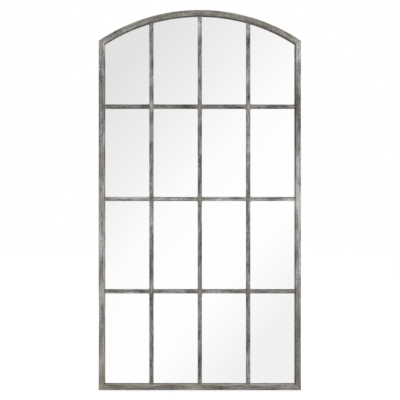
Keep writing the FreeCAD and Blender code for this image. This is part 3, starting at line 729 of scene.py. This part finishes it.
class MIRROR_OT_backing(bpy.types.Operator):
    """Cuts the backing board and finishes it and the packing strips"""

    bl_idname = "mirror.backing"
    bl_label = "Backing board"

    def execute(self, context):
        colours, sizes = context.scene.mirror_colours, context.scene.mirror_sizes
        piece = model_sheet(context, "fibre_backing_board", "backing_board", sizes.board_edge)
        # Medium density fibreboard: pressed wood fibre, sanded flat. It is tan in soft clouds, with flecks of
        # 3 mm and hair fibres 1 mm wide and 12 mm long, which lie all ways.
        material, tree, place = new_material("fibreboard")
        cloud = add_node(tree, "ShaderNodeTexNoise", {"Vector": place, "Scale": per_mm(140), "Detail": 4})
        fleck = add_node(tree, "ShaderNodeTexNoise", {
            "Vector": place, "Scale": per_mm(3), "Detail": 4, "Roughness": 0.7})
        hairs = []
        for lean in (25, 80, 140):
            hair_place = add_node(tree, "ShaderNodeMapping", {
                "Vector": place, "Rotation": (0, math.radians(lean), 0), "Scale": (MM, MM, 12 * MM)},
                vector_type="TEXTURE")
            hair = add_node(tree, "ShaderNodeTexNoise", {"Vector": hair_place, "Scale": 1, "Detail": 2})
            hairs.append(add_node(tree, "ShaderNodeMapRange", {
                "Value": hair, "From Min": 0.58, "From Max": 0.72, "To Max": 0.4}))
        dark = add_node(tree, "ShaderNodeMapRange", {
            "Value": fleck, "From Min": 0.45, "From Max": 0.75, "To Max": 0.45})
        for hair in hairs:
            dark = add_node(tree, "ShaderNodeMath", {0: dark, 1: hair}, operation="MAXIMUM")
        pale = add_node(tree, "ShaderNodeMapRange", {
            "Value": cloud, "From Min": 0.3, "From Max": 0.7, "To Max": 0.35})
        tan = add_node(tree, "ShaderNodeMix", {
            0: pale, 6: colours.fibre, 7: colours.fibre_dark}, data_type="RGBA")
        shade = add_node(tree, "ShaderNodeMix", {0: dark, 6: tan, 7: colours.fibre_dark}, data_type="RGBA")
        bump = add_node(tree, "ShaderNodeBump", {"Height": dark, "Strength": 0.2, "Distance": 0.0002})
        rough = add_node(tree, "ShaderNodeMapRange", {"Value": fleck, "To Min": 0.62, "To Max": 0.82})
        finish_material(tree, {"Base Color": shade, "Roughness": rough, "Normal": bump})
        settle(piece, material, "board", "frame", "backing_board")

        # Hardboard: dense brown fibre with the mesh print of the press on its rough side, 1.6 mm apart.
        material, tree, place = new_material("pressed_hardboard")
        across, upright = (add_node(tree, "ShaderNodeTexWave", {
            "Vector": place, "Scale": per_mm(1.6) * math.tau / WAVE_RADIANS, "Distortion": 0.6},
            bands_direction=way) for way in "XZ")
        mesh = add_node(tree, "ShaderNodeMath", {0: across, 1: upright}, operation="MULTIPLY")
        shade = add_node(tree, "ShaderNodeMix", {
            0: mesh, 6: colours.hardboard, 7: colours.fibre_dark}, data_type="RGBA")
        bump = add_node(tree, "ShaderNodeBump", {"Height": mesh, "Strength": 0.4, "Distance": 0.0003})
        finish_material(tree, {"Base Color": shade, "Normal": bump}, roughness=0.8)
        dress(material, "packing_strips")
        return {"FINISHED"}


# Fittings on the back


def zinc_plate(colours):
    """Stamped steel plated with bright zinc: pale blue grey, cloudy, with a soft gloss."""
    material, tree, place = new_material("zinc_plated_steel")
    cloud = add_node(tree, "ShaderNodeTexNoise", {"Vector": place, "Scale": per_mm(9), "Detail": 3})
    scuff_place = add_node(tree, "ShaderNodeMapping", {
        "Vector": place, "Scale": (per_mm(9), per_mm(9), per_mm(1.2))})
    scuff = add_node(tree, "ShaderNodeTexNoise", {"Vector": scuff_place, "Scale": 1, "Detail": 2})
    bloom = add_node(tree, "ShaderNodeMapRange", {"Value": cloud, "From Min": 0.4, "From Max": 0.65})
    shade = add_node(tree, "ShaderNodeMix", {
        0: bloom, 6: colours.zinc, 7: colours.zinc_tint}, data_type="RGBA")
    rough = add_node(tree, "ShaderNodeMapRange", {"Value": cloud, "To Min": 0.22, "To Max": 0.5})
    bump = add_node(tree, "ShaderNodeBump", {"Height": scuff, "Strength": 0.08, "Distance": 0.0002})
    finish_material(tree, {"Base Color": shade, "Roughness": rough, "Normal": bump}, metallic=1.0)
    return material


class MIRROR_OT_turn_buttons(bpy.types.Operator):
    """Stamps a turn button and sets one on each of its screws"""

    bl_idname = "mirror.turn_buttons"
    bl_label = "Turn buttons"

    def execute(self, context):
        sizes = context.scene.mirror_sizes
        zinc = zinc_plate(context.scene.mirror_colours)
        low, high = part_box("turn_button_left_1")
        half, thickness = (high.z - low.z) / 2, high.y - low.y
        reach = high.x - low.x - 2 * half
        sides = 40
        master = add_start(context, "circle", "turn_button", vertices=sides, radius=sizes.button_hole,
                           rotation=(math.radians(90), math.radians(180 / sides), 0))
        bpy.ops.mesh.select_all(action="SELECT")
        bpy.ops.mesh.extrude_region()
        share = half / sizes.button_hole
        bpy.ops.transform.resize(value=(share, 1, share), center_override=(0, 0, 0))
        pick(context, "VERT", lambda spot, normal: spot.length > RIM * half and spot.x > 0)
        bpy.ops.transform.translate(value=(reach, 0, 0))
        bpy.ops.mesh.select_all(action="SELECT")
        bpy.ops.mesh.extrude_region()
        bpy.ops.transform.translate(value=(0, thickness, 0))

        def on_rim(spot, way):
            """Whether an edge runs round the plate, on its front or back."""
            inside = Vector((min(max(spot.x, 0), reach), spot.y, 0))
            return abs(way.y) < ALONG and (spot - inside).length > RIM * half

        pick(context, "EDGE", on_rim)
        bpy.ops.mesh.bevel(offset=sizes.button_edge, segments=3)
        close_piece(context, angle=40)
        for joint in BUTTONS:
            node = joint["child"]
            pivot = Vector(joint["pos_m"])
            pointing = middle_of(node) - pivot
            turn = Matrix.Rotation(-math.atan2(pointing.z, pointing.x), 4, "Y")
            copy = master.copy()
            copy.name = f"{node}_plate"
            copy.data = master.data.copy()
            copy.data.transform(Matrix.Translation((pivot.x, low.y, pivot.z)) @ turn)
            context.collection.objects.link(copy)
            settle(copy, zinc, "zinc", node, node)
        bpy.data.objects.remove(master)
        return {"FINISHED"}


class MIRROR_OT_hangers(bpy.types.Operator):
    """Plates the hangers and all the screws"""

    bl_idname = "mirror.hangers"
    bl_label = "Hangers and screws"

    def execute(self, context):
        zinc = bpy.data.materials["zinc_plated_steel"]
        names = [f"hanger_{part}_{side}" for part in ("strap", "ring") for side in ("left", "right")]
        dress(zinc, *names, "hanger_screws", "turn_button_screws")
        return {"FINISHED"}


class MIRROR_OT_bumpers(bpy.types.Operator):
    """Moulds a wall bumper and sets one at each corner of the back"""

    bl_idname = "mirror.bumpers"
    bl_label = "Bumpers"

    def execute(self, context):
        colours, sizes = context.scene.mirror_colours, context.scene.mirror_sizes
        low, high = BUMPER
        base = sizes.bumper_base
        master = add_start(context, "cylinder", "bumper", vertices=48, radius=base, depth=high.y - low.y,
                           location=(0, (low.y + high.y) / 2, 0), rotation=(math.radians(90), 0, 0))
        top = high.y - ON_PLANE
        pick(context, "VERT", lambda spot, normal: spot.y > top)
        share = sizes.bumper_top / base
        bpy.ops.transform.resize(value=(share, 1, share), center_override=(0, high.y, 0))
        pick(context, "EDGE", lambda spot, way: spot.y > top)
        bpy.ops.mesh.bevel(offset=sizes.bumper_edge, segments=6)
        pick(context, "FACE", lambda spot, normal: spot.y > top and normal.y > ALONG)
        bpy.ops.mesh.inset(thickness=sizes.bumper_rim)
        bpy.ops.mesh.extrude_region()
        bpy.ops.transform.translate(value=(0, -sizes.bumper_dish, 0))
        bpy.ops.transform.resize(value=(DISH_TAPER, 1, DISH_TAPER), center_override=(0, high.y, 0))
        close_piece(context, angle=40)
        sides, heights = (low.x + base, high.x - base), (low.z + base, high.z - base)
        places = [Matrix.Translation((x, 0, z)) for x in sides for z in heights]
        piece = lay_copies(context, master, "moulded_bumpers", places)
        # Moulded rubber: near black and matt, with dust in its fine grain, drawn at 2 mm so that it shows.
        material, tree, place = new_material("moulded_rubber")
        pores = add_node(tree, "ShaderNodeTexNoise", {"Vector": place, "Scale": per_mm(2), "Detail": 3})
        dust_and_painted_top_light = add_node(tree, "ShaderNodeMapRange", {
            "Value": pores, "From Min": 0.45, "From Max": 0.75, "To Max": 0.6})
        shade = add_node(tree, "ShaderNodeMix", {
            0: dust_and_painted_top_light, 6: colours.rubber, 7: colours.rubber_dust}, data_type="RGBA")
        bump = add_node(tree, "ShaderNodeBump", {"Height": pores, "Strength": 0.2, "Distance": 0.0003})
        finish_material(tree, {"Base Color": shade, "Normal": bump}, roughness=0.7)
        settle(piece, material, "rubber", "frame", "wall_bumpers")
        dress(material, "setting_blocks")
        return {"FINISHED"}


# Studio


class MIRROR_OT_stage(bpy.types.Operator):
    """Lays the floor and sets up the light and the camera"""

    bl_idname = "mirror.stage"
    bl_label = "Studio"

    def execute(self, context):
        colours, studio = context.scene.mirror_colours, context.scene.mirror_studio
        bpy.ops.object.select_all(action="DESELECT")
        bpy.ops.mesh.primitive_plane_add(size=studio.floor_size, location=(0, 0, -studio.floor_drop))
        floor = context.object
        floor.name = "studio_floor"
        floor.visible_glossy = False
        # Seamless paper: to the camera it is lifted to white, and it keeps the mirror's soft shadow.
        material, tree, _ = new_material("floor_paper")
        path = add_node(tree, "ShaderNodeLightPath")
        lift = add_node(tree, "ShaderNodeMath", {
            0: path.outputs["Is Camera Ray"], 1: PAPER_LIFT}, operation="MULTIPLY")
        finish_material(tree, {"Emission Strength": lift}, base_color=colours.floor, roughness=0.9,
                        emission_color=(1, 1, 1, 1))
        floor.data.materials.append(material)

        world = bpy.data.worlds.new("studio_room")
        world.use_nodes = True
        context.scene.world = world
        tree = world.node_tree
        path = add_node(tree, "ShaderNodeLightPath")
        toward = add_node(tree, "ShaderNodeTexCoord").outputs["Generated"]
        split = add_node(tree, "ShaderNodeSeparateXYZ", {"Vector": toward})
        facing = add_node(tree, "ShaderNodeMath", {0: split.outputs["Y"], 1: -1}, operation="MULTIPLY")
        depth = add_node(tree, "ShaderNodeMath", {0: facing, 1: LEAST_DEPTH}, operation="MAXIMUM")
        right = add_node(tree, "ShaderNodeMath", {0: split.outputs["X"], 1: depth}, operation="DIVIDE")
        up = add_node(tree, "ShaderNodeMath", {0: split.outputs["Z"], 1: depth}, operation="DIVIDE")
        # The wall behind the camera is brightest along a slanting band, and the mirror shows it.
        slant = add_node(tree, "ShaderNodeMath", {
            0: right, 1: WALL_ACROSS, 2: WALL_START}, operation="MULTIPLY_ADD")
        slant = add_node(tree, "ShaderNodeMath", {0: up, 1: WALL_UP, 2: slant}, operation="MULTIPLY_ADD")
        shades = [(spot, linear(code)) for spot, code in WALL_SHADES]
        wall = add_node(tree, "ShaderNodeValToRGB", {"Fac": slant}, shades)
        # Away from that wall the room is bright on the right and above and dimmer on the left, in soft bands.
        slope = add_node(tree, "ShaderNodeVectorMath", {0: toward, 1: BAND_WAY}, operation="DOT_PRODUCT")
        band = add_node(tree, "ShaderNodeMath", {0: slope.outputs["Value"]}, operation="SINE")
        side = add_node(tree, "ShaderNodeMath", {
            0: split.outputs["X"], 1: ROOM_RIGHT, 2: ROOM_MIDDLE}, operation="MULTIPLY_ADD")
        side = add_node(tree, "ShaderNodeMath", {
            0: split.outputs["Z"], 1: ROOM_ABOVE, 2: side}, operation="MULTIPLY_ADD")
        side = add_node(tree, "ShaderNodeMath", {0: band, 1: BAND_DEPTH, 2: side}, operation="MULTIPLY_ADD")
        near = add_node(tree, "ShaderNodeMapRange", {"Value": facing, "From Min": 0.8, "From Max": 0.97})
        room = add_node(tree, "ShaderNodeMix", {0: near, 6: side, 7: wall}, data_type="RGBA")
        even = add_node(tree, "ShaderNodeMix", {
            0: path.outputs["Is Glossy Ray"], 6: [studio.room_level] * 3 + [1], 7: room}, data_type="RGBA")
        shown = add_node(tree, "ShaderNodeMix", {
            0: path.outputs["Is Camera Ray"], 6: even, 7: (1, 1, 1, 1)}, data_type="RGBA")
        tree.links.new(shown.outputs[2], tree.nodes["Background"].inputs["Color"])

        aim = Vector((0, 0, HEIGHT / 2))
        for name, place, watts in (
                ("key_light", studio.key_place, studio.key_power),
                ("back_light", studio.back_place, studio.back_power)):
            bpy.ops.object.light_add(type="AREA", location=place)
            light = context.object
            light.name = name
            light.data.energy, light.data.size = watts, studio.light_size
            light.rotation_euler = (aim - Vector(place)).to_track_quat("-Z", "Y").to_euler()

        bpy.ops.object.camera_add(
            location=(studio.camera_aside, FRONT - studio.camera_distance, aim.z),
            rotation=(math.radians(90), 0, 0))
        camera = context.object
        camera.name = "camera"
        camera.data.lens = camera.data.sensor_width * studio.camera_distance / studio.view_width
        context.scene.camera = camera
        context.scene.view_settings.view_transform = "Standard"
        return {"FINISHED"}


class MIRROR_PT_sidebar(bpy.types.Panel):
    """Lists the steps and the values they use"""

    bl_label = "Arched mirror"
    bl_space_type = "VIEW_3D"
    bl_region_type = "UI"
    bl_category = "Mirror"

    def draw(self, context):
        for step in STEPS:
            self.layout.operator(step.bl_idname)
        scene = context.scene
        for values in (scene.mirror_sizes, scene.mirror_colours, scene.mirror_studio):
            for name in type(values).__annotations__:
                self.layout.prop(values, name)


STEPS = (
    MIRROR_OT_straight_tubes, MIRROR_OT_arch_rail, MIRROR_OT_arch_stop, MIRROR_OT_glazing_bars,
    MIRROR_OT_weld_beads, MIRROR_OT_glass, MIRROR_OT_backing, MIRROR_OT_turn_buttons, MIRROR_OT_hangers,
    MIRROR_OT_bumpers, MIRROR_OT_stage)
CLASSES = (MirrorColours, MirrorSizes, MirrorStudio, *STEPS, MIRROR_PT_sidebar)


def register():
    """Adds the classes and their values to Blender."""
    for made in CLASSES:
        bpy.utils.register_class(made)
    bpy.types.Scene.mirror_colours = PointerProperty(type=MirrorColours)
    bpy.types.Scene.mirror_sizes = PointerProperty(type=MirrorSizes)
    bpy.types.Scene.mirror_studio = PointerProperty(type=MirrorStudio)


def unregister():
    """Takes them out again."""
    del bpy.types.Scene.mirror_studio
    del bpy.types.Scene.mirror_sizes
    del bpy.types.Scene.mirror_colours
    for made in reversed(CLASSES):
        bpy.utils.unregister_class(made)


def main():
    """Runs every step in order."""
    register()
    bpy.ops.mirror.straight_tubes()
    bpy.ops.mirror.arch_rail()
    bpy.ops.mirror.arch_stop()
    bpy.ops.mirror.glazing_bars()
    bpy.ops.mirror.weld_beads()
    bpy.ops.mirror.glass()
    bpy.ops.mirror.backing()
    bpy.ops.mirror.turn_buttons()
    bpy.ops.mirror.hangers()
    bpy.ops.mirror.bumpers()
    bpy.ops.mirror.stage()


if __name__ == "__main__":
    main()
